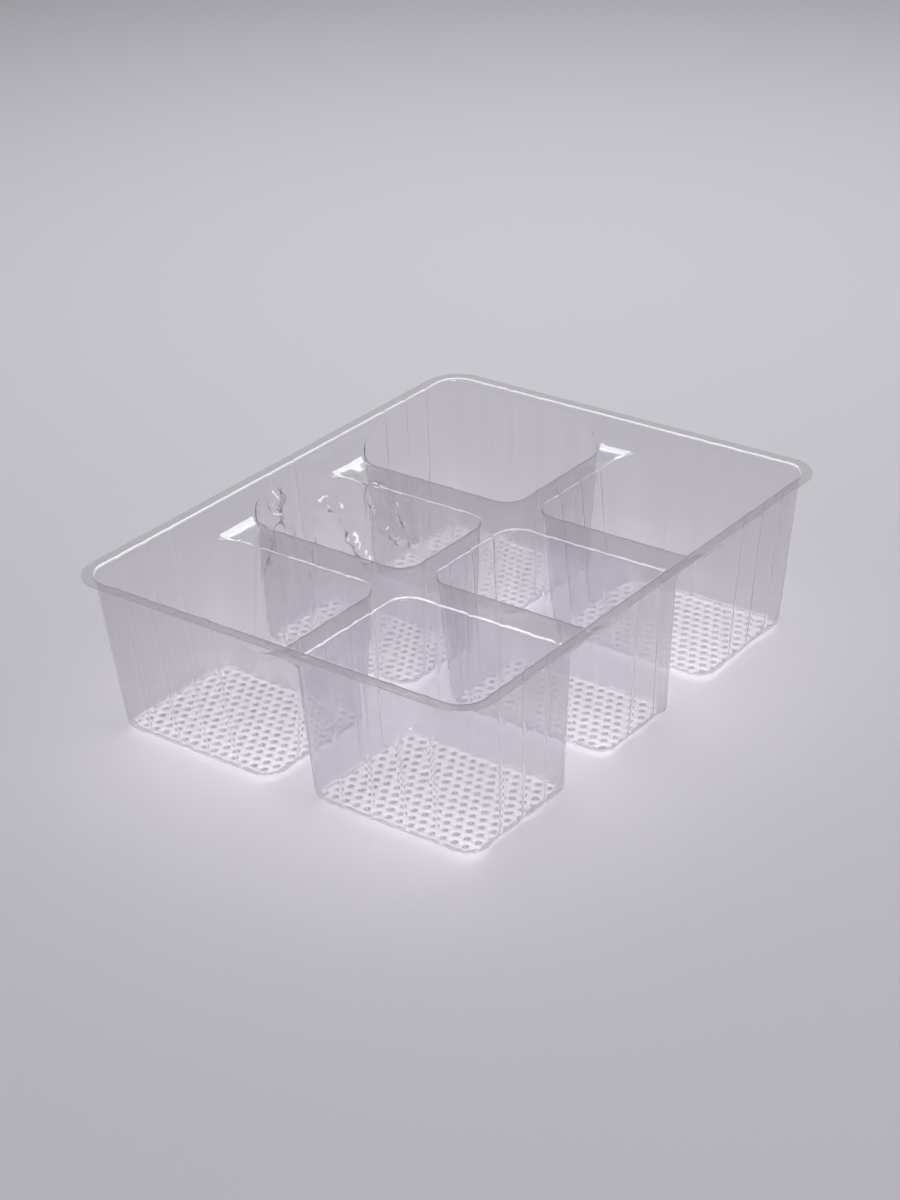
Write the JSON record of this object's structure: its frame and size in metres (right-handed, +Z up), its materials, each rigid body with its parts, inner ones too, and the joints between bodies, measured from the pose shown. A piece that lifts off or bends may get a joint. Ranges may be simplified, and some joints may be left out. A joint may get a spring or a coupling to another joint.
{
  "type": "compartment food tray",
  "caption": "Clear one-piece food tray: deep ribbed pockets with embossed floors, flat dividers set below the rim, and a flat flange with rounded corners.",
  "frame": {"origin": "centre of the footprint, on the surface that the undersides of the pockets stand on", "axes": "+X across the tray, over its two columns of pockets; +Y along the tray's long side; +Z up, out of the pockets"},
  "size_m": [0.195, 0.25, 0.07],
  "materials": {
    "clear_plastic": "clear, glossy"
  },
  "bodies": {
    "root": {"tray": "clear_plastic"}
  },
  "joints": []
}
